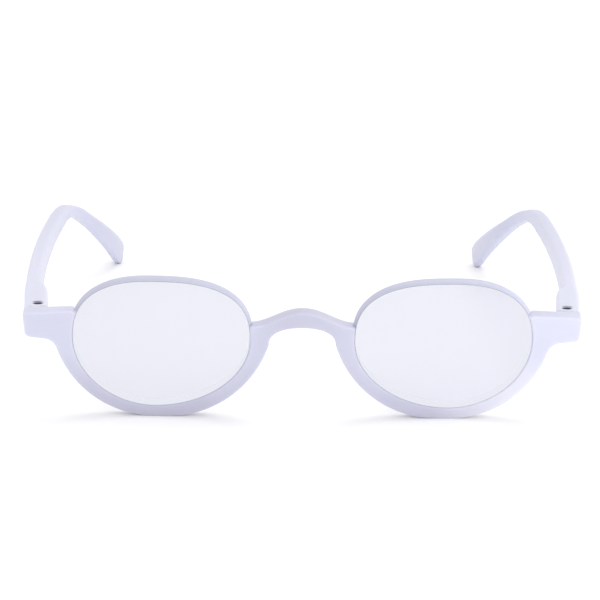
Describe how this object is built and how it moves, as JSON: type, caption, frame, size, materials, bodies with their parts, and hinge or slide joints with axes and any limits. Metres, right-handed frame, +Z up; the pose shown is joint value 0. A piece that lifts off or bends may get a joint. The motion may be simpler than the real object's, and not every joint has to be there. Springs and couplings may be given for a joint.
{
  "type": "reading glasses",
  "caption": "Reading glasses with oval lenses in lower half rims, a raised saddle bridge and folding temples with flat drooping tips.",
  "frame": {"origin": "on the resting plane, under the middle of the bounding box of the open glasses", "axes": "+Z up, -Y the way the front faces, +Y along the temples, -X the wearer's right"},
  "size_m": [0.1394, 0.1464, 0.0371],
  "materials": {
    "lilac_plastic": "milky translucent, satin gloss",
    "lens_plastic": "clear, polished",
    "dark_steel": "dark plated"
  },
  "bodies": {
    "front": {"front_frame": "lilac_plastic", "right_lens": "lens_plastic", "left_lens": "lens_plastic"},
    "right_temple_body": {"right_temple": "lilac_plastic", "right_hinge_screw": "dark_steel"},
    "left_temple_body": {"left_temple": "lilac_plastic", "left_hinge_screw": "dark_steel"}
  },
  "joints": [
    {"name": "right_temple_fold", "type": "hinge", "parent": "front", "child": "right_temple_body", "pos_m": [-0.06504, -0.06299, 0.0245], "axis": [0, 0, -1], "range_deg": [0, 84]},
    {"name": "left_temple_fold", "type": "hinge", "parent": "front", "child": "left_temple_body", "pos_m": [0.06504, -0.06299, 0.0245], "axis": [0, 0, 1], "range_deg": [0, 73]}
  ]
}
